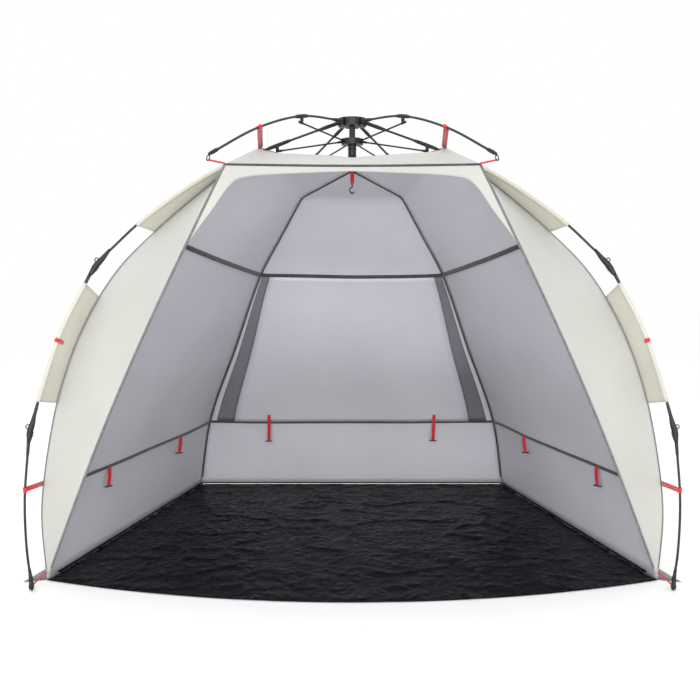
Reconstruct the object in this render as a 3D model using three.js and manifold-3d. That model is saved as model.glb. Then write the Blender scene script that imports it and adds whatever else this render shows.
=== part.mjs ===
// Quick-pitch beach shelter: a two-part hub on top, four folding legs, two short awning poles
// and fabric panels hung below them. Millimetres, +Z up, the open front faces -Y.
// The origin is on the ground, under the middle of the shelter's box.
import * as THREE from 'three';
import { mergeVertices } from 'three/addons/utils/BufferGeometryUtils.js';
import Module from 'manifold-3d';

const wasm = await Module();
wasm.setup();

// Driving dimensions. Heights are above the ground and radii are from the hub's axis.
const hubY = -290.8;
const topHub = { radius: 52, low: 1586, high: 1614, slot: 11 };
const lowHub = { radius: 40, low: 1519, high: 1541, slot: 9, pivotRadius: 32, pivotHeight: 1530 };
const stem = { radius: 11, low: 1452 };
const socket = { outer: 15, inner: 11.6, low: 1444 };
const rod = { radius: 4, strutRadius: 3, sides: 8, spacing: 90 };
const lug = { width: 9, height: 14, length: 34 };
// Each strut runs beside its arm's block, shift to one side of the arm's own plane.
const strut = { eyeLength: 20, eyeHeight: 9, capLength: 24, capWidth: 9, reach: 5, shift: 11 };
const block = { length: 20, width: 12, height: 30, drop: 10, pinDrop: 19 };
const knee = { width: 20, thick: 13, gap: 1.4 };
const foot = { radius: 9, height: 32, pinLength: 62, pinSize: 4.5 };
const cloth = { thick: 2, edge: 5, ground: 3, lift: 4.5 };
const ribbon = { width: 14, thick: 1.6, low: 1380, high: 1443 };
const hook = { radius: 2, bend: 8, drop: 9 };
const corner = { x: 1040, y: -350 };
const awning = { x: 394, y: -550, z: 1374, bow: 28 };
const frontArc = 790;
// Shares of the side seam's length: where the awning's corner meets it, and where the walls stop.
const shoulder = 0.832;
const nearCrown = 0.975;
const backAzimuth = 56.9;
const seamAzimuth = Math.atan2(corner.y, corner.x) * 180 / Math.PI;

// Leg lines as [radius, height] in each leg's own upright plane.
const sideLine = {
  arm: [[60, 1593], [290, 1500], [508, 1404], [762, 1228], [888, 1110]],
  middle: [[946, 1036], [1038, 856], [1107, 655], [1130, 575]],
  lower: [[1149, 492], [1165, 300], [1162, 130], [1151, 30]],
};
const backLine = {
  arm: [[60, 1593], [290, 1500], [500, 1400], [735, 1222], [858, 1102]],
  middle: [[912, 1036], [1056, 852], [1186, 642], [1248, 524]],
  lower: [[1292, 446], [1370, 256], [1410, 130], [1432, 30]],
};
const frontLine = { arm: [[60, 1598], [300, 1578], [532, 1505], [740, 1403]] };
const strutEnd = { side: [290, 1500], back: [290, 1500], front: [300, 1578] };

// Seam lines of the cloth, in the same way.
const sideSeam = [[1097, cloth.lift], [1110, 230], [1088, 430], [1040, 655], [965, 858],
  [850, 1050], [700, 1205], [520, 1360], [345, 1458], [160, 1440], [0, 1430]];
const backSeam = [[1400, cloth.lift], [1290, 330], [990, 722], [735, 1054], [365, 1364],
  [150, 1422], [0, 1430]];

const colours = {
  black: { color: 0x1b1b1d, roughness: 0.5, metalness: 0 },
  pole: { color: 0x2a2b2d, roughness: 0.35, metalness: 0 },
  cream: { color: 0xe3e2d6, roughness: 0.85, metalness: 0 },
  grey: { color: 0xb9b7bd, roughness: 0.85, metalness: 0 },
  ground: { color: 0x1d1d20, roughness: 0.45, metalness: 0 },
  red: { color: 0xd0122a, roughness: 0.8, metalness: 0 },
};

const group = new THREE.Group();

function radians(degrees) {
  return degrees * Math.PI / 180;
}

function addMesh(name, geometry, colour, azimuth = null) {
  const mesh = new THREE.Mesh(geometry, new THREE.MeshStandardMaterial(colours[colour]));
  mesh.name = name;
  if (azimuth !== null) {
    mesh.position.set(0, hubY, 0);
    mesh.rotation.z = radians(azimuth);
  }
  group.add(mesh);
}

// Turns a closed geometry into a solid for cutting and joining, and back.
function toSolid(geometry) {
  const bare = geometry.clone();
  bare.deleteAttribute('normal');
  bare.deleteAttribute('uv');
  const merged = mergeVertices(bare, 1e-3);
  return new wasm.Manifold(new wasm.Mesh({
    numProp: 3,
    vertProperties: new Float32Array(merged.attributes.position.array),
    triVerts: new Uint32Array(merged.index.array),
  }));
}

function toGeometry(solid) {
  const mesh = solid.getMesh();
  const geometry = new THREE.BufferGeometry();
  geometry.setAttribute('position', new THREE.BufferAttribute(mesh.vertProperties, 3));
  geometry.setIndex(new THREE.BufferAttribute(mesh.triVerts, 1));
  return geometry;
}

function join(geometries) {
  const solids = geometries.map(toSolid);
  return toGeometry(solids.reduce((whole, next) => whole.add(next)));
}

function cut(geometry, cutters) {
  return toGeometry(cutters.map(toSolid).reduce((left, next) => left.subtract(next), toSolid(geometry)));
}

// Places a box in a leg's plane: centre as [radius, height], tilted by an angle below level.
function planeBox(length, width, height, [r, z], slope = 0) {
  const box = new THREE.BoxGeometry(length, width, height);
  box.rotateY(slope);
  box.translate(r, 0, z);
  return box;
}

function ring(outer, inner, low, high, sides = 24) {
  const outline = [[inner, low], [outer, low], [outer, high], [inner, high], [inner, low]];
  const points = outline.map(([r, z]) => new THREE.Vector2(r, z));
  const geometry = new THREE.LatheGeometry(points, sides);
  geometry.rotateX(Math.PI / 2);
  return geometry;
}

function disc(radius, low, high, sides = 24) {
  const geometry = new THREE.CylinderGeometry(radius, radius, high - low, sides);
  geometry.rotateX(Math.PI / 2);
  geometry.translate(0, 0, (low + high) / 2);
  return geometry;
}

function curveOf(line) {
  return new THREE.CatmullRomCurve3(line.map(([r, z]) => new THREE.Vector3(r, 0, z)));
}

function round(radius, sides) {
  const shape = new THREE.Shape();
  for (let i = 0; i < sides; i += 1) {
    const turn = 2 * Math.PI * i / sides;
    const x = radius * Math.cos(turn);
    const y = radius * Math.sin(turn);
    if (i === 0) {
      shape.moveTo(x, y);
    } else {
      shape.lineTo(x, y);
    }
  }
  return shape;
}

function rodAlong(curve, radius) {
  const steps = Math.max(2, Math.round(curve.getLength() / rod.spacing));
  return new THREE.ExtrudeGeometry(round(radius, rod.sides), {
    steps, extrudePath: curve, bevelEnabled: false,
  });
}

// The arm nearest the hub: a lug in the hub's slot, the pole, and the block its strut pins to.
function armGeometry(line, [endR, endZ]) {
  const [first, second] = line;
  const slope = Math.atan2(first[1] - second[1], second[0] - first[0]);
  const lugBox = planeBox(lug.length, lug.width, lug.height, [first[0] - 2, first[1] + 1], slope);
  const blockBox = planeBox(block.length, block.width, block.height, [endR, endZ - block.drop], slope);
  return join([rodAlong(curveOf(line), rod.radius), lugBox, blockBox]);
}

// A strut from the lower hub, stopping just short of the arm's block: that pivot is left open.
function strutGeometry([endR, endZ]) {
  const start = new THREE.Vector3(lowHub.pivotRadius + 2, 0, lowHub.pivotHeight);
  const target = new THREE.Vector3(endR - 4, 0, endZ - block.pinDrop);
  const direction = target.clone().sub(start).normalize();
  const stop = target.clone().addScaledVector(direction, strut.reach);
  const slope = Math.atan2(-direction.z, direction.x);
  const eyeAt = start.clone().addScaledVector(direction, strut.eyeLength / 4);
  const capAt = stop.clone().addScaledVector(direction, -strut.capLength / 2);
  const eye = planeBox(strut.eyeLength, lowHub.slot - 2, strut.eyeHeight, [eyeAt.x, eyeAt.z], slope);
  const cap = planeBox(strut.capLength, strut.capWidth, strut.eyeHeight, [capAt.x, capAt.z], slope);
  return join([rodAlong(new THREE.LineCurve3(start, capAt), rod.strutRadius), eye, cap]);
}

// The struts of the right legs and of the left legs are shifted opposite ways, so the two halves mirror.
function shiftOf(label) {
  return label.endsWith('right') ? strut.shift : -strut.shift;
}

function kneeGeometry(upper, lower, side) {
  const tangent = new THREE.Vector3().subVectors(lower, upper).normalize();
  const middle = new THREE.Vector3().addVectors(upper, lower).multiplyScalar(0.5);
  const half = upper.distanceTo(lower) / 2 - knee.gap;
  const wide = knee.width / 2;
  const neck = rod.radius + 2;
  const outline = [[-half, neck], [-half * 0.45, wide], [half * 0.55, wide], [half, neck + 2],
    [half, -neck - 2], [half * 0.55, -wide * 0.8], [-half * 0.45, -wide * 0.8], [-half, -neck]];
  const shape = new THREE.Shape(outline.map(([x, y]) => new THREE.Vector2(x, y * side)));
  const hole = new THREE.Path();
  hole.absarc(half * 0.12, wide * 0.42 * side, 3, 0, 2 * Math.PI);
  shape.holes.push(hole);
  const body = new THREE.ExtrudeGeometry(shape, { depth: knee.thick, bevelEnabled: false, curveSegments: 4 });
  body.translate(0, 0, -knee.thick / 2);
  body.rotateX(Math.PI / 2);
  body.rotateY(Math.atan2(-tangent.z, tangent.x));
  body.translate(middle.x, 0, middle.z);
  return body;
}

function footGeometry([endR]) {
  const tip = disc(foot.radius, 0.2, foot.height - 5, 12);
  tip.translate(endR, 0, 0);
  const pin = new THREE.BoxGeometry(foot.pinSize, foot.pinLength, foot.pinSize);
  pin.rotateX(radians(5));
  pin.translate(endR, 0, 9);
  return join([tip, pin]);
}

function pointsOf(name) {
  const line = { side: sideLine, back: backLine, front: frontLine }[name];
  return { line, end: strutEnd[name] };
}

function addLeg(label, kind, azimuth) {
  const { line, end } = pointsOf(kind);
  addMesh(`${label}_arm`, armGeometry(line.arm, end), 'pole', azimuth);
  addMesh(`${label}_strut`, strutGeometry(end).translate(0, shiftOf(label), 0), 'black', azimuth);
  if (kind === 'front') {
    const [r, z] = line.arm.at(-1);
    addMesh(`${label}_tip`, planeBox(30, 12, 13, [r + 17, z - 8], radians(26)), 'black', azimuth);
    return;
  }
  const ends = ['arm', 'middle', 'lower'].map((part) => line[part].map(([r, z]) => new THREE.Vector3(r, 0, z)));
  addMesh(`${label}_upper_knee`, kneeGeometry(ends[0].at(-1), ends[1][0], -1), 'black', azimuth);
  addMesh(`${label}_middle_pole`, rodAlong(curveOf(line.middle), rod.radius), 'pole', azimuth);
  addMesh(`${label}_lower_knee`, kneeGeometry(ends[1].at(-1), ends[2][0], -1), 'black', azimuth);
  addMesh(`${label}_lower_pole`, rodAlong(curveOf(line.lower), rod.radius), 'pole', azimuth);
  addMesh(`${label}_foot`, footGeometry(line.lower.at(-1)), 'black', azimuth);
}

const legs = [
  ['side_right', 'side', -23.2], ['side_left', 'side', 203.2],
  ['back_right', 'back', backAzimuth], ['back_left', 'back', 180 - backAzimuth],
  ['front_right', 'front', -55], ['front_left', 'front', 235],
];

function slotCutters(inner, width, low, high, shifted = false) {
  return legs.map(([label, , azimuth]) => {
    const box = new THREE.BoxGeometry(60, width, high - low);
    box.translate(inner + 30, shifted ? shiftOf(label) : 0, (low + high) / 2);
    box.rotateZ(radians(azimuth));
    return box;
  });
}

function addHubs() {
  const top = cut(
    disc(topHub.radius, topHub.low, topHub.high, 36),
    slotCutters(26, topHub.slot, topHub.low - 5, topHub.high - 5),
  );
  const stemTube = disc(stem.radius, stem.low, topHub.low - 0.4, 20);
  const low = cut(
    join([ring(lowHub.radius, socket.inner, lowHub.low, lowHub.high, 36),
      ring(socket.outer, socket.inner, socket.low, lowHub.low + 1)]),
    slotCutters(18, lowHub.slot, lowHub.low + 4, lowHub.high + 5, true),
  );
  addMesh('top_hub', top, 'black', 0);
  addMesh('stem', stemTube, 'black', 0);
  addMesh('lower_hub', low, 'black', 0);
}

function seamCurve(line, azimuth) {
  const turn = radians(azimuth);
  const place = ([r, z]) => new THREE.Vector3(r * Math.cos(turn), hubY + r * Math.sin(turn), z);
  return new THREE.CatmullRomCurve3(line.map(place));
}

// A thin closed sheet between two edges. Each edge is a function of 0..1, sag pulls it inwards.
function sheet(edgeA, edgeB, rows, columns, sag = 0, insetA = cloth.edge, insetB = cloth.edge) {
  const inside = new THREE.Vector3(0, hubY + 250, 600);
  const grid = [];
  for (let i = 0; i <= rows; i += 1) {
    const a = edgeA(i / rows);
    const b = edgeB(i / rows);
    const along = new THREE.Vector3().subVectors(b, a);
    const width = along.length();
    along.normalize();
    const from = typeof insetA === 'function' ? insetA(a) : insetA;
    for (let j = 0; j <= columns; j += 1) {
      const point = a.clone().addScaledVector(along, from + (width - from - insetB) * j / columns);
      const pull = sag * Math.sin(Math.PI * j / columns) * Math.sin(Math.PI * i / rows);
      point.addScaledVector(inside.clone().sub(point).normalize(), pull);
      grid.push(point);
    }
  }
  return thicken(grid, rows, columns);
}

function thicken(grid, rows, columns) {
  const at = (i, j) => i * (columns + 1) + j;
  const layer = grid.length;
  const positions = new Float32Array(layer * 6);
  for (let i = 0; i <= rows; i += 1) {
    for (let j = 0; j <= columns; j += 1) {
      const down = grid[at(Math.min(i + 1, rows), j)].clone().sub(grid[at(Math.max(i - 1, 0), j)]);
      const across = grid[at(i, Math.min(j + 1, columns))].clone().sub(grid[at(i, Math.max(j - 1, 0))]);
      const normal = down.cross(across).normalize().multiplyScalar(cloth.thick / 2);
      const point = grid[at(i, j)];
      point.clone().add(normal).toArray(positions, at(i, j) * 3);
      point.clone().sub(normal).toArray(positions, (layer + at(i, j)) * 3);
    }
  }
  const faces = [];
  const quad = (a, b, c, d) => faces.push(a, b, c, a, c, d);
  for (let i = 0; i < rows; i += 1) {
    for (let j = 0; j < columns; j += 1) {
      quad(at(i, j), at(i + 1, j), at(i + 1, j + 1), at(i, j + 1));
      quad(layer + at(i, j), layer + at(i, j + 1), layer + at(i + 1, j + 1), layer + at(i + 1, j));
    }
    quad(at(i, 0), layer + at(i, 0), layer + at(i + 1, 0), at(i + 1, 0));
    quad(at(i, columns), at(i + 1, columns), layer + at(i + 1, columns), layer + at(i, columns));
  }
  for (let j = 0; j < columns; j += 1) {
    quad(at(0, j), at(0, j + 1), layer + at(0, j + 1), layer + at(0, j));
    quad(at(rows, j), layer + at(rows, j), layer + at(rows, j + 1), at(rows, j + 1));
  }
  const geometry = new THREE.BufferGeometry();
  geometry.setAttribute('position', new THREE.BufferAttribute(positions, 3));
  geometry.setIndex(faces);
  return geometry;
}

function span(curve, from, to) {
  return (t) => curve.getPointAt(from + (to - from) * t);
}

// Where along a seam its height first passes z.
function shareAtHeight(curve, z) {
  const count = 400;
  for (let i = 0; i <= count; i += 1) {
    if (curve.getPointAt(i / count).z >= z) {
      return i / count;
    }
  }
  return 1;
}

// The sides are mirror images: sign 1 is the right, -1 the left.
function mirrored(azimuth, sign) {
  return sign > 0 ? azimuth : 180 - azimuth;
}

function openingEdge(sign, t) {
  const x = corner.x + (awning.x - corner.x) * t + awning.bow * Math.sin(Math.PI * t);
  const y = corner.y + (awning.y - corner.y) * t;
  return new THREE.Vector3(sign * x, hubY + y, cloth.lift + (awning.z - cloth.lift) * t);
}


// Faces point outwards whichever way the edges run.
function facing(geometry) {
  const solidVolume = signedVolume(geometry);
  if (solidVolume < 0) {
    const index = geometry.index.array;
    for (let i = 0; i < index.length; i += 3) {
      [index[i + 1], index[i + 2]] = [index[i + 2], index[i + 1]];
    }
  }
  return geometry;
}

function signedVolume(geometry) {
  const position = geometry.attributes.position;
  const index = geometry.index.array;
  const [a, b, c] = [new THREE.Vector3(), new THREE.Vector3(), new THREE.Vector3()];
  let volume = 0;
  for (let i = 0; i < index.length; i += 3) {
    a.fromBufferAttribute(position, index[i]);
    b.fromBufferAttribute(position, index[i + 1]);
    c.fromBufferAttribute(position, index[i + 2]);
    volume += a.dot(b.cross(c)) / 6;
  }
  return volume;
}

function addSheet(name, geometry, colour) {
  addMesh(name, facing(geometry), colour);
}

function addSide(word, sign) {
  const seam = seamCurve(sideSeam, mirrored(seamAzimuth, sign));
  const rear = seamCurve(backSeam, mirrored(backAzimuth, sign));
  addSheet(`${word}_wall`, sheet(span(rear, 0, nearCrown), span(seam, 0, nearCrown), 14, 6, 22), 'grey');
  const start = 0.06;
  const edge = (t) => openingEdge(sign, start + (1 - start) * t);
  addSheet(`${word}_front_panel`, sheet(span(seam, shoulder * start, shoulder), edge, 12, 3, 0), 'cream');
}

function addRoof() {
  const seam = seamCurve(sideSeam, seamAzimuth);
  const back = (t) => {
    const side = 2 * t - 1;
    const point = seam.getPointAt(1 - (1 - shoulder) * Math.abs(side));
    return new THREE.Vector3(Math.sign(side) * point.x, point.y, point.z);
  };
  const front = (t) => new THREE.Vector3((2 * t - 1) * awning.x, hubY + awning.y, awning.z);
  const trim = 0.012;
  const inner = (f) => (t) => f(trim + (1 - 2 * trim) * t);
  const inset = (a) => 7 + 58 * Math.exp(-((a.x / 75) ** 2));
  addSheet('roof_panel', sheet(inner(back), inner(front), 14, 5, 0, inset), 'cream');
}

function addBackWall() {
  const right = seamCurve(backSeam, backAzimuth);
  const left = seamCurve(backSeam, 180 - backAzimuth);
  addSheet('back_wall', sheet(span(left, 0, nearCrown), span(right, 0, nearCrown), 14, 6, 14), 'grey');
}

function flat(points, thickness, low) {
  const shape = points instanceof THREE.Shape ? points : new THREE.Shape(points);
  const geometry = new THREE.ExtrudeGeometry(shape, { depth: thickness, bevelEnabled: false, curveSegments: 20 });
  geometry.translate(0, hubY, low);
  return geometry;
}

function addGround() {
  const turn = radians(backAzimuth);
  const rear = { x: 1400 * Math.cos(turn), y: 1400 * Math.sin(turn) };
  const shape = new THREE.Shape();
  shape.moveTo(-corner.x, corner.y);
  shape.quadraticCurveTo(0, -frontArc, corner.x, corner.y);
  shape.lineTo(rear.x, rear.y);
  shape.lineTo(-rear.x, rear.y);
  shape.closePath();
  addMesh('groundsheet', flat(shape, cloth.ground, 0), 'ground');
  for (const [word, sign] of [['right', 1], ['left', -1]]) {
    const outline = [[corner.x + 4, corner.y + 4], [corner.x + 72, corner.y - 40], [corner.x + 58, corner.y + 130],
      [rear.x + 34, rear.y - 20], [rear.x + 5, rear.y - 2]];
    const points = outline.map(([x, y]) => new THREE.Vector2(sign * x, y));
    addMesh(`${word}_skirt`, flat(points, cloth.thick, 0), 'grey');
  }
}

// The band round the top of the doorway, in the sloping plane of the opening.
function addValance() {
  const rise = Math.hypot(awning.z, awning.y - corner.y);
  const edgeAt = (t) => openingEdge(1, t).x - 8;
  const low = 0.8;
  const shape = new THREE.Shape();
  shape.moveTo(edgeAt(low), low * rise);
  shape.lineTo(edgeAt(0.9), 0.9 * rise);
  shape.lineTo(edgeAt(0.995), 0.995 * rise);
  shape.lineTo(-edgeAt(0.995), 0.995 * rise);
  shape.lineTo(-edgeAt(0.9), 0.9 * rise);
  shape.lineTo(-edgeAt(low), low * rise);
  shape.bezierCurveTo(-410, 0.93 * rise, -370, 0.975 * rise, 0, 0.983 * rise);
  shape.bezierCurveTo(370, 0.975 * rise, 410, 0.93 * rise, edgeAt(low), low * rise);
  const geometry = new THREE.ExtrudeGeometry(shape, { depth: cloth.thick, bevelEnabled: false, curveSegments: 10 });
  geometry.translate(0, 0, -cloth.thick / 2);
  geometry.rotateX(Math.atan2(awning.z, awning.y - corner.y));
  geometry.translate(0, hubY + corner.y, cloth.lift - 4);
  addMesh('doorway_band', geometry, 'cream');
}

// Fins of cloth that carry the poles: each joins a stretch of pole to the seam beside it.
function addSleeves(label, azimuth, seamTurn, line, seamLine) {
  const seam = seamCurve(seamLine, seamTurn);
  const stretches = { upper: [line.arm, 0.52, 0.86], lower: [line.middle, 0.06, 0.9] };
  for (const [part, [points, from, to]] of Object.entries(stretches)) {
    const pole = seamCurve(points, azimuth);
    const top = pole.getPointAt(from);
    const base = pole.getPointAt(to);
    const high = shareAtHeight(seam, top.z - 46);
    const low = shareAtHeight(seam, base.z - 18);
    addSheet(`${label}_${part}_sleeve`, sheet(span(pole, from, to), span(seam, high, low), 6, 1, 0, 8, 9), 'cream');
  }
}

function addCrown() {
  addMesh('crown_ring', ring(31, 20, 1428, 1431, 20), 'grey', 0);
  const band = new THREE.BoxGeometry(ribbon.width, ribbon.thick, ribbon.high - ribbon.low);
  band.translate(0, hubY, (ribbon.low + ribbon.high) / 2);
  addMesh('hook_ribbon', band, 'red');
  const top = ribbon.low - 3 - hook.radius;
  const path = [[0, top], [0, top - hook.drop], [-hook.bend, top - hook.drop - 7], [-hook.bend, top - hook.drop - 16],
    [0, top - hook.drop - 23], [hook.bend, top - hook.drop - 17]];
  const curve = new THREE.CatmullRomCurve3(path.map(([x, z]) => new THREE.Vector3(x, hubY, z)));
  const geometry = new THREE.ExtrudeGeometry(round(hook.radius, 8), { steps: 16, extrudePath: curve, bevelEnabled: false });
  addMesh('ceiling_hook', geometry, 'black');
}

addHubs();
for (const [label, kind, azimuth] of legs) {
  addLeg(label, kind, azimuth);
}
addGround();
addBackWall();
addSide('right', 1);
addSide('left', -1);
addRoof();
addValance();
addCrown();
addSleeves('side_right', -23.2, seamAzimuth, sideLine, sideSeam);
addSleeves('side_left', 203.2, 180 - seamAzimuth, sideLine, sideSeam);
addSleeves('back_right', backAzimuth, backAzimuth, backLine, backSeam);
addSleeves('back_left', 180 - backAzimuth, 180 - backAzimuth, backLine, backSeam);

export default group;
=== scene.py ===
"""Looks of the quick-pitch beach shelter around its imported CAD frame. Metres, +Z up, the open front faces -Y."""
import math

import bpy
import numpy as np
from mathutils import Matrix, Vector, noise
from mathutils.bvhtree import BVHTree


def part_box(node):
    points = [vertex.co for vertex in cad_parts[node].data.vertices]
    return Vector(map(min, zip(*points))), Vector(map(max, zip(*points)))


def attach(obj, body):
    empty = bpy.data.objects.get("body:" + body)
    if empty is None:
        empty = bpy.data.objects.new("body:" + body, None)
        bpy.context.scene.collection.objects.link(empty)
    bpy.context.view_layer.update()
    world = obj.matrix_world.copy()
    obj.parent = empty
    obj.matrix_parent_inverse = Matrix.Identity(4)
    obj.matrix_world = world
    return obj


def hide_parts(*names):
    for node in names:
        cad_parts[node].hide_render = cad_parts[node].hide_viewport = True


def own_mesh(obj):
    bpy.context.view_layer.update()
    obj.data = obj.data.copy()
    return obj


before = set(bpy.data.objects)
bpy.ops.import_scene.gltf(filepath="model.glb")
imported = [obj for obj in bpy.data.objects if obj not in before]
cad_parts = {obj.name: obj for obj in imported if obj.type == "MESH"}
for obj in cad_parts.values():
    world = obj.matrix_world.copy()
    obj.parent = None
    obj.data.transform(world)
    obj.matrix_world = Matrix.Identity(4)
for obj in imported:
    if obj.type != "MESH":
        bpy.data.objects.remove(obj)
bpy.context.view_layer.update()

# Driving values, the same as the CAD model's.
HUB_LOW, HUB_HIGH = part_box("top_hub")
HUB_Y = (HUB_LOW.y + HUB_HIGH.y) / 2
CORNER = (1.040, -0.350)
AWNING = (0.394, -0.550, 1.374)
BOW = 0.028
LIFT = 0.0045
BACK_TURN = 56.9
SEAM_TURN = math.degrees(math.atan2(CORNER[1], CORNER[0]))
SIDE_TURN = -23.2
FRONT_TURN = -55.0
SHOULDER = 0.832
ZIP_HEIGHT = 0.338
ZIP_SIDE_HEIGHT = 0.302
RAIL_HEIGHT = 1.054
RAIL_SIDE_HEIGHT = 1.185
RIDGE_RISE = 0.036
POLE_RADIUS = 0.004
CLOTH_THICK = 0.0012

SIDE_SEAM = [(1.097, LIFT), (1.110, 0.230), (1.088, 0.430), (1.040, 0.655), (0.965, 0.858), (0.850, 1.050),
             (0.700, 1.205), (0.530, 1.352), (0.370, 1.478), (0.345, 1.493), (0.318, 1.484), (0.160, 1.447),
             (0.0, 1.430)]
BACK_SEAM = [(1.400, LIFT), (1.290, 0.330), (0.990, 0.722), (0.735, 1.054), (0.560, 1.204), (0.390, 1.345),
             (0.365, 1.363), (0.335, 1.369), (0.180, 1.397), (0.0, 1.430)]
LINES = {
    "side": {"arm": [(0.060, 1.593), (0.290, 1.500), (0.508, 1.404), (0.762, 1.228), (0.888, 1.110)],
             "middle": [(0.946, 1.036), (1.038, 0.856), (1.107, 0.655), (1.130, 0.575)],
             "lower": [(1.149, 0.492), (1.165, 0.300), (1.162, 0.130), (1.151, 0.030)]},
    "back": {"arm": [(0.060, 1.593), (0.290, 1.500), (0.500, 1.400), (0.735, 1.222), (0.858, 1.102)],
             "middle": [(0.912, 1.036), (1.056, 0.852), (1.186, 0.642), (1.248, 0.524)],
             "lower": [(1.292, 0.446), (1.370, 0.256), (1.410, 0.130), (1.432, 0.030)]},
    "front": {"arm": [(0.060, 1.598), (0.300, 1.578), (0.532, 1.505), (0.740, 1.403)]},
}
STRUT_END = {"side": (0.290, 1.500), "back": (0.290, 1.500), "front": (0.300, 1.578)}
STRUT_PIVOT = (0.032, 1.530)
STRUT_SHIFT = 0.011


def mirrored(turn, sign):
    return turn if sign > 0 else 180 - turn


LEGS = [(f"{kind}_{word}", kind, mirrored(turn, sign))
        for kind, turn in (("side", SIDE_TURN), ("back", BACK_TURN), ("front", FRONT_TURN))
        for word, sign in (("right", 1), ("left", -1))]


# Camera, made first. It stands in front of the doorway, a metre up, looking slightly down.
def add_camera():
    data = bpy.data.cameras.new("camera")
    data.lens = 46.6
    data.sensor_width = 36
    camera = bpy.data.objects.new("camera", data)
    bpy.context.scene.collection.objects.link(camera)
    camera.location = (-0.008, HUB_Y + CORNER[1] - 3.03, 0.99)
    camera.rotation_euler = (math.radians(90 - 3.85), 0, 0)
    bpy.context.scene.camera = camera


# Points, curves and grids.
def in_plane(turn, r, z):
    angle = math.radians(turn)
    return np.array([r * math.cos(angle), HUB_Y + r * math.sin(angle), z])


def plane_points(turn, line):
    return np.array([in_plane(turn, r, z) for r, z in line])


def smooth(points, count):
    """A centripetal Catmull-Rom curve through the points, as count + 1 points evenly spaced along it."""
    points = np.asarray(points, float)
    ends = [2 * points[0] - points[1], *points, 2 * points[-1] - points[-2]]
    dense = []
    for p0, p1, p2, p3 in zip(ends, ends[1:], ends[2:], ends[3:]):
        t0 = 0.0
        t1 = t0 + np.linalg.norm(p1 - p0) ** 0.5
        t2 = t1 + np.linalg.norm(p2 - p1) ** 0.5
        t3 = t2 + np.linalg.norm(p3 - p2) ** 0.5
        for t in np.linspace(t1, t2, 24, endpoint=False):
            a1 = (t1 - t) / (t1 - t0) * p0 + (t - t0) / (t1 - t0) * p1
            a2 = (t2 - t) / (t2 - t1) * p1 + (t - t1) / (t2 - t1) * p2
            a3 = (t3 - t) / (t3 - t2) * p2 + (t - t2) / (t3 - t2) * p3
            b1 = (t2 - t) / (t2 - t0) * a1 + (t - t0) / (t2 - t0) * a2
            b2 = (t3 - t) / (t3 - t1) * a2 + (t - t1) / (t3 - t1) * a3
            dense.append((t2 - t) / (t2 - t1) * b1 + (t - t1) / (t2 - t1) * b2)
    dense.append(points[-1])
    return even(np.array(dense), count)


def even(points, count):
    steps = np.linalg.norm(np.diff(points, axis=0), axis=1)
    along = np.concatenate([[0], np.cumsum(steps)])
    wanted = np.linspace(0, along[-1], count + 1)
    return np.stack([np.interp(wanted, along, points[:, k]) for k in range(3)], axis=1)


def at_height(curve, z):
    """The first point of a rising curve that is z high."""
    for a, b in zip(curve, curve[1:]):
        if b[2] >= z:
            share = (z - a[2]) / max(b[2] - a[2], 1e-9)
            return a + (b - a) * share
    return curve[-1]


def part_of(curve, low, high, count):
    """The stretch of a curve between two shares of its length."""
    dense = even(curve, 400)
    return even(dense[int(low * 400):int(high * 400) + 1], count)


# Meshes.
def link(name, vertices, faces, materials, smooth_faces=True):
    mesh = bpy.data.meshes.new(name)
    mesh.from_pydata([tuple(v) for v in vertices], [], faces)
    mesh.update()
    if smooth_faces:
        mesh.polygons.foreach_set("use_smooth", [True] * len(mesh.polygons))
    piece = bpy.data.objects.new(name, mesh)
    bpy.context.scene.collection.objects.link(piece)
    for material in materials:
        mesh.materials.append(material)
    return piece


def loft(path, wide, high=None, sides=14):
    """Rings along a path: wide is the half width level with the ground, high the half width across it."""
    path = np.asarray(path, float)
    wide = np.broadcast_to(wide, len(path))
    high = wide if high is None else np.broadcast_to(high, len(path))
    tangents = np.gradient(path, axis=0)
    vertices = []
    level = None
    for point, tangent, w, h in zip(path, tangents, wide, high):
        tangent = tangent / np.linalg.norm(tangent)
        side = np.cross(tangent, (0, 0, 1))
        if np.linalg.norm(side) < 0.05:
            side = level if level is not None else np.array([1.0, 0, 0])
        side = side - tangent * (side @ tangent)
        if level is not None and side @ level < 0:
            side = -side
        level = side / np.linalg.norm(side)
        other = np.cross(level, tangent)
        for k in range(sides):
            turn = 2 * math.pi * k / sides
            vertices.append(point + level * w * math.cos(turn) + other * h * math.sin(turn))
    faces = []
    for i in range(len(path) - 1):
        for k in range(sides):
            n = (k + 1) % sides
            faces.append((i * sides + k, i * sides + n, (i + 1) * sides + n, (i + 1) * sides + k))
    faces.append(tuple(range(sides - 1, -1, -1)))
    last = (len(path) - 1) * sides
    faces.append(tuple(range(last, last + sides)))
    return vertices, faces


def joined(parts):
    vertices, faces = [], []
    for some, shapes in parts:
        base = len(vertices)
        vertices.extend(some)
        faces.extend(tuple(base + i for i in face) for face in shapes)
    return vertices, faces


def torus(centre, axis_u, axis_v, radius, tube, count=20):
    turns = np.linspace(0, 2 * math.pi, count, endpoint=False)
    normal = np.cross(axis_u, axis_v)
    vertices = []
    for turn in turns:
        out = axis_u * math.cos(turn) + axis_v * math.sin(turn)
        for k in range(8):
            a = 2 * math.pi * k / 8
            vertices.append(centre + out * (radius + tube * math.cos(a)) + normal * tube * math.sin(a))
    faces = [(i * 8 + k, ((i + 1) % count) * 8 + k, ((i + 1) % count) * 8 + (k + 1) % 8, i * 8 + (k + 1) % 8)
             for i in range(count) for k in range(8)]
    return vertices, faces


def grid_normals(grid):
    down = np.gradient(grid, axis=0)
    across = np.gradient(grid, axis=1)
    normals = np.cross(down, across)
    return normals / np.maximum(np.linalg.norm(normals, axis=2, keepdims=True), 1e-9)


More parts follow.
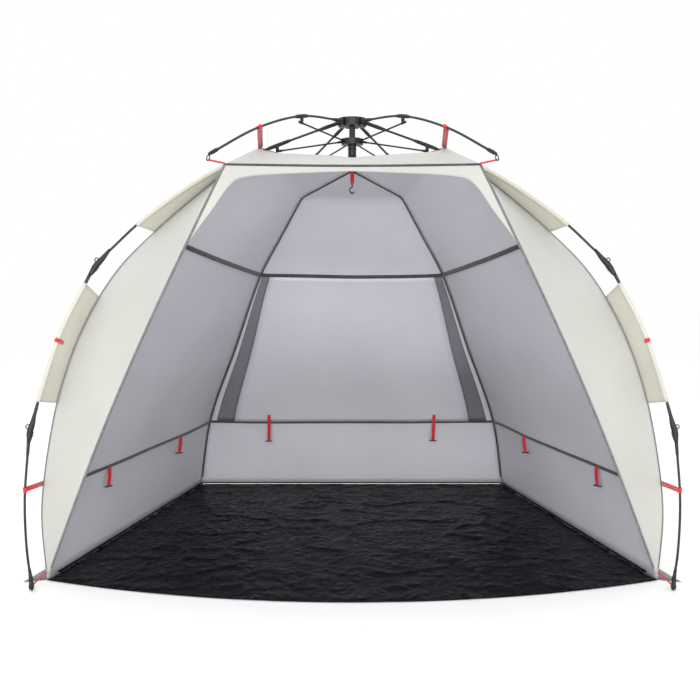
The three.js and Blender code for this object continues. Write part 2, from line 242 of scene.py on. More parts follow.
def cloth_from(name, grid, materials, outwards, thick=CLOTH_THICK):
    """A sheet of cloth over a grid of points, with its outer and inner faces in their own materials."""
    rows, columns = grid.shape[:2]
    normals = grid_normals(grid)
    towards = (grid - np.array(outwards)).reshape(-1, 3)
    flip = (normals.reshape(-1, 3) * towards).sum() < 0
    faces = []
    for i in range(rows - 1):
        for j in range(columns - 1):
            face = (i * columns + j, (i + 1) * columns + j, (i + 1) * columns + j + 1, i * columns + j + 1)
            faces.append(face[::-1] if flip else face)
    piece = link(name, grid.reshape(-1, 3), faces, materials)
    shell = piece.modifiers.new("thickness", "SOLIDIFY")
    shell.thickness = thick
    shell.offset = 0
    shell.material_offset = len(materials) - 1
    return piece


def surface(edge_a, edge_b, columns, sag=0.0, wrinkle=0.0, seed=0.0, stretch=(3.0, 3.0, 3.0)):
    """Points between two edges, pulled inwards in the middle and puckered by smooth noise."""
    share = np.linspace(0, 1, columns + 1)[None, :, None]
    grid = edge_a[:, None, :] * (1 - share) + edge_b[:, None, :] * share
    rows = len(edge_a)
    normals = grid_normals(grid)
    inside = np.array([0, HUB_Y + 0.25, 0.6])
    sign = np.sign(((inside - grid) * normals).sum())
    for i in range(rows):
        for j in range(columns + 1):
            u, v = i / (rows - 1), j / columns
            middle = math.sin(math.pi * u) * math.sin(math.pi * v)
            edge = min(1.0, 12 * min(v, 1 - v)) * min(1.0, 12 * min(u, 1 - u))
            p = Vector(grid[i, j] * np.array(stretch)) + Vector((seed, 0, 0))
            pucker = wrinkle * edge * (noise.noise(p) + 0.5 * noise.noise(p * 2.3))
            grid[i, j] += normals[i, j] * sign * (sag * middle + pucker)
    return grid


# Materials.
def nodes_of(name):
    material = bpy.data.materials.new(name)
    material.use_nodes = True
    tree = material.node_tree
    return material, tree, tree.nodes["Principled BSDF"]


def add_node(tree, kind, **settings):
    node = tree.nodes.new(kind)
    for key, value in settings.items():
        if key in node.inputs:
            node.inputs[key].default_value = value
        else:
            setattr(node, key, value)
    return node


def noise_node(tree, scale, detail=3.0, stretch=(1, 1, 1)):
    place = add_node(tree, "ShaderNodeTexCoord")
    mapping = add_node(tree, "ShaderNodeMapping", Scale=stretch)
    tree.links.new(place.outputs["Object"], mapping.inputs["Vector"])
    texture = add_node(tree, "ShaderNodeTexNoise", Scale=scale, Detail=detail)
    tree.links.new(mapping.outputs["Vector"], texture.inputs["Vector"])
    return texture


def wave_node(tree, scale, direction):
    place = add_node(tree, "ShaderNodeTexCoord")
    texture = add_node(tree, "ShaderNodeTexWave", Scale=scale, bands_direction=direction)
    tree.links.new(place.outputs["Object"], texture.inputs["Vector"])
    return texture


def ramp_between(tree, source, dark, light, low=0.3, high=0.7):
    ramp = add_node(tree, "ShaderNodeValToRGB")
    ramp.color_ramp.elements[0].position = low
    ramp.color_ramp.elements[0].color = (*dark, 1)
    ramp.color_ramp.elements[1].position = high
    ramp.color_ramp.elements[1].color = (*light, 1)
    tree.links.new(source, ramp.inputs["Fac"])
    return ramp


def bump_from(tree, shader, heights):
    """Adds bumps one after another: each is an output, a strength and a distance in metres."""
    previous = None
    for output, strength, distance in heights:
        bump = add_node(tree, "ShaderNodeBump", Strength=strength, Distance=distance)
        tree.links.new(output, bump.inputs["Height"])
        if previous is not None:
            tree.links.new(previous.outputs["Normal"], bump.inputs["Normal"])
        previous = bump
    tree.links.new(previous.outputs["Normal"], shader.inputs["Normal"])


def woven(name, dark, light, rough=0.8, sheen=0.2, weave=420.0):
    material, tree, shader = nodes_of(name)
    shader.inputs["Roughness"].default_value = rough
    shader.inputs["Sheen Weight"].default_value = sheen
    patches = noise_node(tree, 2.2, 4.0)
    ramp = ramp_between(tree, patches.outputs["Fac"], dark, light)
    tree.links.new(ramp.outputs["Color"], shader.inputs["Base Color"])
    creases = noise_node(tree, 9.0, 5.0, (1, 1, 0.45))
    warp = wave_node(tree, weave, "X")
    weft = wave_node(tree, weave, "Z")
    bump_from(tree, shader, [(creases.outputs["Fac"], 0.25, 0.004), (warp.outputs["Fac"], 0.12, 0.0003),
                             (weft.outputs["Fac"], 0.12, 0.0003)])
    return material


def crinkled():
    """Crumpled black film: sharp creases of two sizes, with painted highlights: the base colour is painted paler along
    the fine creases, more so towards the back, as glints.
    """
    material, tree, shader = nodes_of("black_groundsheet")
    shader.inputs["Specular IOR Level"].default_value = 0.035
    fine = noise_node(tree, 40.0, 6.0)
    shine = ramp_between(tree, fine.outputs["Fac"], (0.24, 0.24, 0.24), (0.42, 0.42, 0.42))
    tree.links.new(shine.outputs["Color"], shader.inputs["Roughness"])
    heights = []
    creases = []
    for scale, stretch, distance in ((7.0, (1.0, 1.3, 1.0), 0.028), (21.0, (1.3, 1.0, 1.0), 0.014)):
        texture = noise_node(tree, scale, 8.0, stretch)
        texture.noise_type = "RIDGED_MULTIFRACTAL"
        heights.append((texture.outputs["Fac"], 0.6, distance))
        creases.append(texture)
    # Painted highlight mask: the fine creases, scaled up towards the back of the sheet, where the glints are painted.
    spot = add_node(tree, "ShaderNodeTexCoord")
    parts = add_node(tree, "ShaderNodeSeparateXYZ")
    tree.links.new(spot.outputs["Object"], parts.inputs["Vector"])
    back = add_node(tree, "ShaderNodeMapRange", **{"From Min": -0.9, "From Max": 0.9, "To Min": 0.82, "To Max": 1.22})
    tree.links.new(parts.outputs["Y"], back.inputs["Value"])
    painted_glint = add_node(tree, "ShaderNodeMath", operation="MULTIPLY")
    tree.links.new(creases[1].outputs["Fac"], painted_glint.inputs[0])
    tree.links.new(back.outputs["Result"], painted_glint.inputs[1])
    # Painted glints: near-black film, painted pale grey where the crease glint mask is high.
    tone = ramp_between(tree, painted_glint.outputs["Value"], (0.004, 0.004, 0.006), (0.38, 0.38, 0.39), 0.62, 1.08)
    tree.links.new(tone.outputs["Color"], shader.inputs["Base Color"])
    bump_from(tree, shader, [*heights, (fine.outputs["Fac"], 0.4, 0.003)])
    return material


def moulded(name, dark, light, rough):
    material, tree, shader = nodes_of(name)
    grain = noise_node(tree, 260.0, 2.0)
    wear = noise_node(tree, 30.0, 4.0)
    ramp = ramp_between(tree, wear.outputs["Fac"], dark, light)
    tree.links.new(ramp.outputs["Color"], shader.inputs["Base Color"])
    shine = ramp_between(tree, wear.outputs["Fac"], (rough - 0.08,) * 3, (rough + 0.1,) * 3)
    tree.links.new(shine.outputs["Color"], shader.inputs["Roughness"])
    shader.inputs["Specular IOR Level"].default_value = 0.3
    bump_from(tree, shader, [(grain.outputs["Fac"], 0.2, 0.0004)])
    return material


def webbing(name, dark, light):
    material, tree, shader = nodes_of(name)
    shader.inputs["Roughness"].default_value = 0.75
    shader.inputs["Sheen Weight"].default_value = 0.3
    tone = noise_node(tree, 60.0, 3.0)
    ramp = ramp_between(tree, tone.outputs["Fac"], dark, light)
    tree.links.new(ramp.outputs["Color"], shader.inputs["Base Color"])
    ribs = wave_node(tree, 300.0, "DIAGONAL")
    bump_from(tree, shader, [(ribs.outputs["Fac"], 0.35, 0.0006)])
    return material


CREAM = woven("cream_cloth", (0.42, 0.42, 0.39), (0.475, 0.475, 0.445))
SHADE = woven("cream_sleeve_cloth", (0.48, 0.47, 0.40), (0.54, 0.53, 0.46))
SILVER = woven("silver_coated_cloth", (0.66, 0.655, 0.71), (0.73, 0.725, 0.78), 0.55, 0.1)
FLAP = woven("window_flap_cloth", (0.63, 0.625, 0.68), (0.70, 0.695, 0.75), 0.55, 0.1)
NETTING = woven("window_netting", (0.17, 0.165, 0.19), (0.24, 0.235, 0.265), 0.8, 0.0, 900.0)
PIPING = webbing("dark_piping", (0.028, 0.027, 0.032), (0.06, 0.058, 0.066))
BINDING = webbing("grey_binding", (0.11, 0.11, 0.12), (0.17, 0.17, 0.18))
RED = webbing("red_webbing", (0.50, 0.004, 0.012), (0.70, 0.010, 0.025))
GROUND = crinkled()
ROD = moulded("glass_fibre_rod", (0.016, 0.016, 0.018), (0.03, 0.03, 0.033), 0.3)
BLACK = moulded("black_nylon", (0.010, 0.010, 0.011), (0.024, 0.024, 0.026), 0.42)

ROOT = "hub_and_cloth"
INSIDE = np.array([0, HUB_Y + 0.25, 0.6])


def fold_away(piece):
    """Gives the piece its own copy of its mesh data."""
    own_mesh(piece)


def place(piece, body, slot, *nodes):
    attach(piece, body)
    if nodes:
        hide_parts(*nodes)
    return piece


# Cloth panels.
def seam(line, turn, count=60):
    return smooth(plane_points(turn, line), count)


def opening_edge(sign, shares):
    x = CORNER[0] + (AWNING[0] - CORNER[0]) * shares + BOW * np.sin(np.pi * shares)
    y = HUB_Y + CORNER[1] + (AWNING[1] - CORNER[1]) * shares
    z = LIFT + (AWNING[2] - LIFT) * shares
    return np.stack([sign * x, y, z], axis=1)


def tree_of(grid):
    rows, columns = grid.shape[:2]
    faces = [(i * columns + j, (i + 1) * columns + j, (i + 1) * columns + j + 1, i * columns + j + 1)
             for i in range(rows - 1) for j in range(columns - 1)]
    return BVHTree.FromPolygons([tuple(p) for p in grid.reshape(-1, 3)], faces)


def on_cloth(tree, point, lift):
    """The nearest point of a panel, moved inwards by lift."""
    where, normal, _, _ = tree.find_nearest(Vector(point))
    inward = Vector(INSIDE) - where
    if normal.dot(inward) < 0:
        normal = -normal
    return np.array(where + normal * lift)


def tape(name, path, wide, thick, material, body=ROOT, slot="coated_cloth"):
    vertices, faces = loft(path, thick, wide, 10)
    piece = link(name, vertices, faces, [material])
    place(piece, body, slot)
    if body == ROOT:
        fold_away(piece)
    return piece


def add_back_wall():
    right = seam(BACK_SEAM, BACK_TURN)
    left = seam(BACK_SEAM, 180 - BACK_TURN)
    grid = surface(left, right, 48, 0.012, 0.006, 3.0, (2.6, 1.0, 1.6))
    wall = cloth_from("back_wall_cloth", grid, [CREAM, SILVER], INSIDE)
    place(wall, ROOT, "coated_cloth", "back_wall")
    fold_away(wall)
    tree = tree_of(grid)
    add_window(tree, left, right)
    for name, z, wide in (("back_rail_tape", RAIL_HEIGHT, 0.008), ("back_zip_tape", ZIP_HEIGHT, 0.006)):
        a, b = at_height(left, z), at_height(right, z)
        path = [on_cloth(tree, a + (b - a) * t, 0.006) for t in np.linspace(0.005, 0.995, 40)]
        tape(name, path, wide, 0.003, PIPING)
    return tree


def back_patch(tree, edges, bulge, lift, rows=36, columns=24):
    """A panel laid on the back wall's inner face between two edges, each a function of height."""
    low, high = ZIP_HEIGHT + 0.004, RAIL_HEIGHT - 0.004
    grid = np.zeros((rows + 1, columns + 1, 3))
    for i, z in enumerate(np.linspace(low, high, rows + 1)):
        start, end = edges(z)
        for j, share in enumerate(np.linspace(0, 1, columns + 1)):
            height = math.sin(math.pi * i / rows) * math.sin(math.pi * share) * bulge
            point = start + (end - start) * share
            ripple = 0.0025 * noise.noise(Vector((point[0] * 5, z * 3, lift * 900)))
            grid[i, j] = on_cloth(tree, point, lift + height + ripple)
    return grid


def add_window(tree, left, right):
    """The rear window: a strip of netting shows at each side of the flap that covers it."""
    def down(z):
        return (RAIL_HEIGHT - z) / (RAIL_HEIGHT - ZIP_HEIGHT)

    def start(z):
        return step * (0.012 + 0.022 * down(z))

    def end(z):
        return step * (0.044 + 0.079 * down(z))
    step = np.array([1.0, 0, 0])
    strips = {
        "left_window_netting": lambda z: (at_height(left, z) + start(z), at_height(left, z) + end(z)),
        "right_window_netting": lambda z: (at_height(right, z) - end(z), at_height(right, z) - start(z)),
    }
    for name, edges in strips.items():
        grid = back_patch(tree, edges, 0.0, 0.005, 30, 5)
        piece = cloth_from(name, grid, [NETTING], INSIDE, thick=0.0008)
        place(piece, ROOT, "coated_cloth")
        fold_away(piece)
    flap = back_patch(tree, lambda z: (at_height(left, z) + end(z), at_height(right, z) - end(z)), 0.010, 0.009)
    piece = cloth_from("rear_window_flap", flap, [FLAP], INSIDE)
    place(piece, ROOT, "coated_cloth")
    fold_away(piece)


def add_side(word, sign):
    side = seam(SIDE_SEAM, mirrored(SEAM_TURN, sign))
    rear = seam(BACK_SEAM, mirrored(BACK_TURN, sign))
    grid = surface(rear, side, 48, 0.020, 0.008, 11.0 + sign, (1.4, 1.4, 2.2))
    wall = cloth_from(f"{word}_wall_cloth", grid, [CREAM, SILVER], INSIDE)
    place(wall, ROOT, "coated_cloth", f"{word}_wall")
    fold_away(wall)
    start = 0.012
    edge = opening_edge(sign, np.linspace(start, 1, 61))
    strip = part_of(side, SHOULDER * start, SHOULDER, 60)
    front = surface(strip, edge, 20, 0.004, 0.005, 21.0 + sign, (2.0, 2.0, 2.0))
    panel = cloth_from(f"{word}_front_cloth", front, [CREAM, SILVER], INSIDE)
    place(panel, ROOT, "outer_cloth", f"{word}_front_panel")
    fold_away(panel)
    tape(f"{word}_side_piping", side[1:-1], 0.0028, 0.0028, BINDING)
    inner = rear + (INSIDE - rear) / np.linalg.norm(INSIDE - rear, axis=1, keepdims=True) * 0.006
    tape(f"{word}_rear_piping", inner[1:], 0.0034, 0.0026, PIPING)
    tape(f"{word}_doorway_binding", edge[1:], 0.0045, 0.0030, BINDING)
    wall_tree = tree_of(grid)
    for name, z, end, wide in ((f"{word}_rail_tape", RAIL_HEIGHT, RAIL_SIDE_HEIGHT, 0.010),
                               (f"{word}_zip_tape", ZIP_HEIGHT, ZIP_SIDE_HEIGHT, 0.006)):
        a, b = at_height(rear, z), at_height(side, end)
        path = [on_cloth(wall_tree, a + (b - a) * t, 0.006) for t in np.linspace(0.006, 0.985, 40)]
        tape(name, path, wide, 0.003, PIPING)
    return wall_tree, rear, side


def add_roof():
    side = seam(SIDE_SEAM, SEAM_TURN, 200)
    half = part_of(side, SHOULDER, 1.0, 24)
    other = half[:-1] * np.array([-1, 1, 1])
    back = np.concatenate([other, half[::-1]])
    front = np.stack([np.linspace(-AWNING[0], AWNING[0], len(back)), np.full(len(back), HUB_Y + AWNING[1]),
                      np.full(len(back), AWNING[2])], axis=1)
    grid = surface(back, front, 24, -0.006, 0.004, 31.0, (3.0, 3.0, 3.0))
    across = np.abs(grid[:, :, 0]) / 0.327
    along = np.linspace(0, 1, 25)[None, :]
    ridge = RIDGE_RISE * np.clip(1 - across ** 2, 0, 1) * np.where(along < 0.2, along / 0.2, (1 - along) / 0.8)
    grid[:, :, 2] += ridge
    roof = cloth_from("roof_cloth", grid, [CREAM, SILVER], (0, HUB_Y, 0.4))
    place(roof, ROOT, "outer_cloth", "roof_panel")
    fold_away(roof)
    line = np.stack([np.linspace(-AWNING[0], AWNING[0], 41), np.full(41, HUB_Y + AWNING[1]),
                     AWNING[2] - 0.004 * np.sin(np.linspace(0, math.pi, 41))], axis=1)
    tape("awning_edge_tape", line, 0.0040, 0.0040, PIPING)


def add_doorway_band():
    """The cream band round the top of the doorway, narrow in the middle and tapering down the edges."""
    low = 0.80
    inner_line = [(0.0, 0.020), (0.160, 0.026), (0.300, 0.034), (0.357, 0.045), (0.390, 0.072), (0.434, 0.132),
                  (0.496, 0.210), (0.532, 0.262)]
    awning_half = [np.array([x, HUB_Y + AWNING[1], AWNING[2]]) for x in np.linspace(0, AWNING[0], 30)]
    down = list(opening_edge(1, np.linspace(1, low, 24)))
    outer = even(np.array(awning_half + down[1:]), 60)
    points = []
    for x, fall in inner_line:
        z = AWNING[2] - fall
        points.append((x, HUB_Y + CORNER[1] + (AWNING[1] - CORNER[1]) * z / AWNING[2] + 0.006, z))
    inner = smooth(points, 60)
    share = np.linspace(0, 1, 7)[None, :, None]
    half = outer[:, None, :] * (1 - share) + inner[:, None, :] * share
    half[:, :, 1] -= 0.002
    grid = np.concatenate([half[:0:-1] * np.array([-1, 1, 1]), half])
    band = cloth_from("doorway_band_cloth", grid, [CREAM, CREAM], INSIDE)
    place(band, ROOT, "outer_cloth", "doorway_band")
    fold_away(band)


def add_groundsheet():
    turn = math.radians(BACK_TURN)
    rear = (1.400 * math.cos(turn), 1.400 * math.sin(turn))
    rows, columns = 190, 230
    across = np.linspace(-1, 1, columns + 1)
    front_y = CORNER[1] - 0.220 * (1 - across ** 2)
    grid = np.zeros((rows + 1, columns + 1, 3))
    for i, share in enumerate(np.linspace(0, 1, rows + 1)):
        grid[i, :, 0] = across * (CORNER[0] + (rear[0] - CORNER[0]) * share) * 0.998
        grid[i, :, 1] = HUB_Y + front_y + (rear[1] - front_y) * share
    for i in range(rows + 1):
        for j in range(columns + 1):
            x, y, _ = grid[i, j]
            p = Vector((x * 4.2, y * 4.2, 0.7))
            ridge = 1 - abs(noise.noise(p + noise.noise_vector(p * 1.4) * 0.6)) * 2.4
            fine = 1 - abs(noise.noise(p * 3.1 + noise.noise_vector(p * 2.2) * 0.7)) * 2.4
            rim = min(1.0, 9 * min(i / rows, 1 - i / rows, j / columns, 1 - j / columns))
            relief = 0.006 * max(ridge, 0) ** 4 + 0.0022 * max(fine, 0) ** 2
            grid[i, j, 2] = 0.0012 + relief * (0.15 + 0.85 * rim)
    sheet = cloth_from("groundsheet_cloth", grid, [GROUND], (0, 0, -5))
    place(sheet, ROOT, "groundsheet", "groundsheet")
    fold_away(sheet)
    inside = np.concatenate([grid[8:, 0], grid[-1, 1:], grid[-2:7:-1, -1]])
    inside = (inside - (0, HUB_Y, 0)) * (0.993, 0.993, 0) + (0, HUB_Y, 0.009)
    tape("groundsheet_rim", even(inside, 160), 0.0025, 0.007, GROUND, slot="groundsheet")
    edge = grid[0, :, :] + np.array([0, 0, 0.001])
    tape("groundsheet_front_hem", edge, 0.0016, 0.005, GROUND, slot="groundsheet")


def add_skirts():
    turn = math.radians(BACK_TURN)
    rear = np.array([1.400 * math.cos(turn), 1.400 * math.sin(turn)])
    for word, sign in (("right", 1), ("left", -1)):
        inner = np.stack([np.linspace(CORNER[0] + 0.002, rear[0] + 0.004, 41),
                          np.linspace(CORNER[1] + 0.004, rear[1] - 0.002, 41)], axis=1)
        share = np.linspace(0, 1, 41)[:, None]
        outer = inner + np.array([[0.070, -0.030]]) * (1 - share) + np.array([[0.030, -0.016]]) * share
        grid = np.zeros((41, 7, 3))
        for j in range(7):
            grid[:, j, :2] = inner + (outer - inner) * j / 6
            grid[:, j, 2] = 0.0012 + 0.0025 * np.abs(np.sin(share[:, 0] * 21 + j * 0.4)) * j / 6
        grid[:, :, 0] *= sign
        grid[:, :, 1] += HUB_Y
        skirt = cloth_from(f"{word}_skirt_cloth", grid, [BINDING], (0, 0, -5))
        place(skirt, ROOT, "coated_cloth", f"{word}_skirt")
        fold_away(skirt)


# Poles, knees and struts.
def rod_radii(count, start, end):
    """Rod radius along a pole, thicker where moulded sockets hold its ends."""
    t = np.linspace(0, 1, count + 1)
    radii = np.full(count + 1, POLE_RADIUS)
    for share, grow in ((t, start), (1 - t, end)):
        radii += grow * np.clip(1 - share / 0.10, 0, 1) ** 0.35
    return radii


def add_leg(label, kind, turn):
    line = LINES[kind]
    arm = smooth(plane_points(turn, line["arm"]), 80)
    end = in_plane(turn, *STRUT_END[kind])
    body = f"{label}_arm_body"
    first, second = arm[0], arm[7]
    lug = [first - (second - first) * 0.22, *arm[0:8]]
    lug_shape = loft(lug, [0.0040, 0.0046, 0.0047, 0.0052, 0.0062, 0.0064, 0.0060, 0.0052, 0.0044],
                     [0.0060, 0.0072, 0.0070, 0.0066, 0.0070, 0.0070, 0.0062, 0.0054, 0.0044], 16)
    near = int(np.argmin(np.linalg.norm(arm - end, axis=1)))
    sleeve = loft(arm[near - 4:near + 5], [0.0045, 0.0062, 0.0066, 0.0068, 0.0068, 0.0068, 0.0066, 0.0062, 0.0045],
                  None, 16)
    drop = np.array([0, 0, -0.001])
    ear = loft([end + drop * z for z in (0, 6, 12, 18, 23)], [0.005, 0.0062, 0.0062, 0.0055, 0.0035],
               [0.008, 0.0085, 0.0080, 0.0065, 0.0035], 16)
    clamp = link(f"{label}_arm_sockets", *joined([lug_shape, sleeve, ear]), [BLACK])
    place(clamp, body, "black_plastic")
    pole = link(f"{label}_arm_pole", *loft(arm[2:], POLE_RADIUS, None, 16), [ROD])
    place(pole, body, "pole", f"{label}_arm")
    add_strut(label, kind, turn)
    if kind == "front":
        add_tip(label, arm)
        return
    middle = smooth(plane_points(turn, line["middle"]), 60)
    lower = smooth(plane_points(turn, line["lower"]), 60)
    add_knee(f"{label}_upper_knee", arm[-1], middle[0], body, turn)
    add_knee(f"{label}_lower_knee", middle[-1], lower[0], f"{label}_middle_body", turn)
    for part, points in (("middle", middle), ("lower", lower)):
        radii = rod_radii(60, 0.0018, 0.0018)
        pole = link(f"{label}_{part}_rod", *loft(points, radii, None, 16), [ROD])
        place(pole, f"{label}_{part}_body", "pole", f"{label}_{part}_pole")
    add_foot(label, lower, turn)


def add_strut(label, kind, turn):
    """Struts run beside their arms' blocks, to one side of the arm's plane."""
    sideways = np.cross((0, 0, 1), in_plane(turn, 1, 0) - in_plane(turn, 0, 0))
    shift = sideways * (STRUT_SHIFT if label.endswith("right") else -STRUT_SHIFT)
    start = in_plane(turn, STRUT_PIVOT[0] + 0.002, STRUT_PIVOT[1]) + shift
    target = in_plane(turn, STRUT_END[kind][0] - 0.004, STRUT_END[kind][1] - 0.019) + shift
    direction = (target - start) / np.linalg.norm(target - start)
    path = even(np.array([start - direction * 0.004, target + direction * 0.005]), 40)
    t = np.linspace(0, 1, 41)
    wide = 0.003 + 0.0005 * (t < 0.08) + 0.0013 * (t > 0.90)
    high = 0.003 + 0.0014 * (t < 0.08) + 0.0014 * (t > 0.90)
    strut = link(f"{label}_strut_rod", *loft(path, wide, high, 16), [BLACK])
    place(strut, f"{label}_strut_body", "black_plastic", f"{label}_strut")


def add_knee(name, upper, lower, body, turn):
    """A folding joint: a slim tapered housing with a release ring standing off its outer side."""
    span = lower - upper
    length = np.linalg.norm(span)
    along = span / length
    flat = in_plane(turn, 1, 0) - in_plane(turn, 0, 0)
    tangent = np.cross(flat, (0, 0, 1))
    out = np.cross(tangent, along)
    out = out if out @ flat > 0 else -out
    shares = np.linspace(-0.16, 1.0, 17)
    path = [upper + span * s + out * 0.0024 * math.exp(-((s - 0.55) / 0.2) ** 2) for s in shares]
    wide = np.interp(shares, [-0.16, 0.0, 0.12, 0.4, 0.7, 0.9, 1.0], [0.0045, 0.0052, 0.006, 0.0066, 0.0066, 0.006, 0.005])
    high = np.interp(shares, [-0.16, 0.0, 0.2, 0.45, 0.7, 0.85, 1.0], [0.0045, 0.006, 0.0080, 0.0100, 0.0105, 0.0085, 0.006])
    housing = loft(path, wide, high, 20)
    eye = upper + span * 0.42 + out * 0.0125
    release = torus(eye, out, along, 0.0062, 0.0018)
    rim = [loft([upper + span * (s - 0.012), upper + span * (s + 0.012)], 0.0078, 0.0108, 20) for s in (0.62, 0.72)]
    knee = link(f"{name}_housing", *joined([housing, release, *rim]), [BLACK])
    place(knee, body, "black_plastic", name)


def add_tip(label, arm):
    ahead = arm[-1] - arm[-3]
    ahead = ahead / np.linalg.norm(ahead)
    path = even(np.array([arm[-1] - ahead * 0.028, arm[-1] + ahead * 0.018]), 12)
    cap = loft(path, [0.0045, 0.0055, 0.006, 0.0062, 0.0062, 0.0062, 0.0062, 0.0062, 0.0060, 0.0056, 0.0052, 0.0045, 0.003],
               None, 16)
    loop_centre = arm[-1] + ahead * 0.020 + np.array([0, 0, -0.010])
    eye = torus(loop_centre, ahead, np.array([0, 0, 1.0]), 0.0075, 0.0019)
    tip = link(f"{label}_end_cap", *joined([cap, eye]), [BLACK])
    place(tip, f"{label}_arm_body", "black_plastic", f"{label}_tip")
    sign = 1 if label.endswith("right") else -1
    anchor = np.array([sign * AWNING[0], HUB_Y + AWNING[1], AWNING[2] + 0.003])
    start = loop_centre + np.array([0, 0, -0.006])
    path = even(np.array([start, anchor]), 16)
    cord = link(f"{label}_awning_tie", *loft(path, 0.0014, 0.0030, 12), [RED])
    place(cord, f"{label}_arm_body", "red_webbing")


def add_foot(label, lower, turn):
    end = lower[-1]
    base = end[:2]
    heights = [0.0008, 0.003, 0.007, 0.014, 0.020, 0.027, 0.036, 0.046, 0.060]
    widths = [0.0040, 0.0065, 0.0085, 0.0088, 0.0080, 0.0072, 0.0070, 0.0064, 0.0048]
    lean = (lower[-4] - end) / (lower[-4][2] - end[2])
    path = [np.array([*base, 0.0]) + lean * max(z - 0.03, 0) + np.array([0, 0, z if z < 0.03 else 0.03]) for z in heights]
    tip = loft(path, widths, None, 18)
    across = np.cross(in_plane(turn, 1, 0) - in_plane(turn, 0, 0), (0, 0, 1))
    middle = np.array([*base, 0.010])
    pin_path = [middle + across * s + np.array([0, 0, 0.10 * s]) for s in np.linspace(-0.031, 0.031, 9)]
    pin = loft(pin_path, [0.001, 0.0022, 0.0024, 0.0024, 0.0024, 0.0024, 0.0024, 0.0022, 0.001], None, 10)
    foot = link(f"{label}_foot_tip", *joined([tip, pin]), [BLACK])
    place(foot, f"{label}_lower_body", "black_plastic", f"{label}_foot")


# Fins of cloth that carry the poles, and the red straps.
def add_sleeves(label, kind, turn, seam_turn, line):
    edge = seam(line, seam_turn, 200)
    stretches = {"upper": ("arm", 0.45, 0.86, f"{label}_arm_body"), "lower": ("middle", 0.06, 0.90, f"{label}_middle_body")}
    for part, (segment, low, high, body) in stretches.items():
        pole = part_of(smooth(plane_points(turn, LINES[kind][segment]), 100), low, high, 24)
        tops = [at_height(edge, p[2] - 0.046 + 0.028 * (i / 24)) for i, p in enumerate(pole)]
        grid = surface(pole, np.array(tops), 8, 0.003, 0.002, 41.0, (6.0, 6.0, 6.0))
        fin = cloth_from(f"{label}_{part}_sleeve_cloth", grid, [SHADE, SHADE], INSIDE)
        place(fin, body, "outer_cloth", f"{label}_{part}_sleeve")
        tube = link(f"{label}_{part}_sleeve_tube", *loft(pole, 0.0068, 0.0068, 14), [SHADE])
        place(tube, body, "outer_cloth")
        if part == "lower":
            add_strap(f"{label}_sleeve_strap", pole[12], tops[12], body, 0.013, pole[13] - pole[11], 0.0085)


def add_strap(name, start, end, body, wide, pole_way, loop_radius=0.0055):
    """A short flat strap from a pole, round which it loops, to the cloth."""
    span = end - start
    length = np.linalg.norm(span)
    along = span / length
    up = pole_way - along * (along @ pole_way)
    up = up / np.linalg.norm(up)
    normal = np.cross(along, up)
    outline = []
    for turn in np.linspace(math.radians(35), math.radians(325), 14):
        outline.append(start + along * loop_radius * math.cos(turn) + normal * loop_radius * math.sin(turn))
    outline.append(start + along * length * 0.5 - normal * 0.001)
    outline.append(end)
    grid = np.array([[p + up * wide * side for side in (-0.5, -0.25, 0, 0.25, 0.5)] for p in outline])
    faces = [(i * 5 + j, (i + 1) * 5 + j, (i + 1) * 5 + j + 1, i * 5 + j + 1)
             for i in range(len(outline) - 1) for j in range(4)]
    strap = link(name, grid.reshape(-1, 3), faces, [RED])
    thickness = strap.modifiers.new("thickness", "SOLIDIFY")
    thickness.thickness = 0.0012
    place(strap, body, "red_webbing")
    return strap


def add_straps():
    for word, sign in (("right", 1), ("left", -1)):
        side = seam(SIDE_SEAM, mirrored(SEAM_TURN, sign), 200)
        lower = smooth(plane_points(mirrored(SIDE_TURN, sign), LINES["side"]["lower"]), 60)
        upright = np.array([0, 0, 1.0])
        add_strap(f"side_{word}_wall_strap", at_height(lower[::-1], 0.335), at_height(side, 0.335),
                  f"side_{word}_lower_body", 0.017, upright)
        rear = seam(BACK_SEAM, mirrored(BACK_TURN, sign), 200)
        rear_pole = smooth(plane_points(mirrored(BACK_TURN, sign), LINES["back"]["lower"]), 60)
        add_strap(f"back_{word}_wall_strap", at_height(rear_pole[::-1], 0.30), at_height(rear, 0.29),
                  f"back_{word}_lower_body", 0.017, upright)
        arm = smooth(plane_points(mirrored(FRONT_TURN, sign), LINES["front"]["arm"]), 80)
        peak = in_plane(mirrored(SEAM_TURN, sign), 0.345, 1.492)
        add_strap(f"front_{word}_roof_strap", arm[53], peak, f"front_{word}_arm_body", 0.020, arm[54] - arm[52])
        foot = lower[-1]
        tie = smooth([np.array([foot[0], foot[1] + 0.004, 0.012]), np.array([foot[0] * 0.995, foot[1] + 0.045, 0.018]),
                      np.array([sign * (CORNER[0] + 0.004), HUB_Y + CORNER[1], 0.026])], 14)
        cord = link(f"{word}_corner_tie", *loft(tie, 0.0016, 0.0034, 12), [RED])
        place(cord, f"side_{word}_lower_body", "red_webbing")


